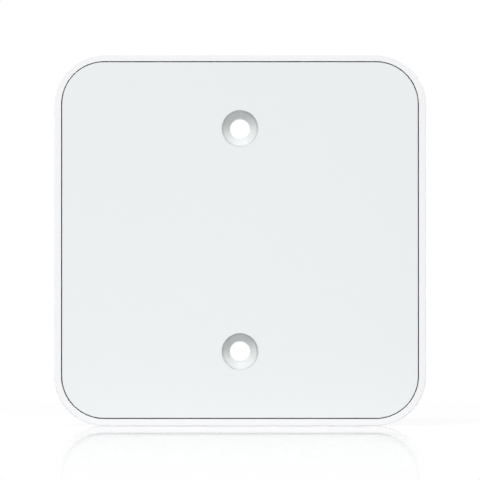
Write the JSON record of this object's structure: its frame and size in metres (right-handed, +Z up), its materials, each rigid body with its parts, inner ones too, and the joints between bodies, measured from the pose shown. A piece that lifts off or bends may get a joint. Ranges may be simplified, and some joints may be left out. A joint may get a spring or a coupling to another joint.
{
  "type": "ceiling access point mounting plate",
  "caption": "Square magnetic mounting plate with rounded corners for an access point: white tray, flush inset panel with a fine dark gap, and see-through countersunk screw holes.",
  "frame": {"origin": "in the wall plane, midway between the two mounting screw holes", "axes": "+Y into the wall, so the front faces -Y; +Z up along the line of the two screw holes; +X to the right seen from the front"},
  "size_m": [0.1, 0.01, 0.1],
  "materials": {
    "shell_plastic": "fine moulded satin white",
    "panel_plastic": "matte cool light grey-white",
    "bush_plastic": "smooth white moulding",
    "bonding_tape": "black double-sided bonding tape",
    "carrier_plastic": "dark grey glass-filled moulding",
    "keeper_steel": "bright zinc plate with rolling grain",
    "magnet_nickel": "satin nickel plate",
    "screw_steel": "zinc-plated steel",
    "pad_rubber": "grey die-cut rubber sheet"
  },
  "bodies": {
    "root": {"base_shell": "shell_plastic", "face_panel": "panel_plastic", "panel_tape": "bonding_tape", "tape_strip_left": "bonding_tape", "tape_strip_right": "bonding_tape", "magnet_carrier": "carrier_plastic", "keeper_plate": "keeper_steel", "magnet_top_left": "magnet_nickel", "magnet_top_right": "magnet_nickel", "magnet_middle_left": "magnet_nickel", "magnet_center": "magnet_nickel", "magnet_middle_right": "magnet_nickel", "magnet_bottom_left": "magnet_nickel", "magnet_bottom_right": "magnet_nickel", "screw_bush_top": "bush_plastic", "screw_bush_bottom": "bush_plastic", "carrier_screws": "screw_steel", "wall_pad_top_left": "pad_rubber", "wall_pad_top_right": "pad_rubber", "wall_pad_bottom_left": "pad_rubber", "wall_pad_bottom_right": "pad_rubber"}
  },
  "joints": []
}
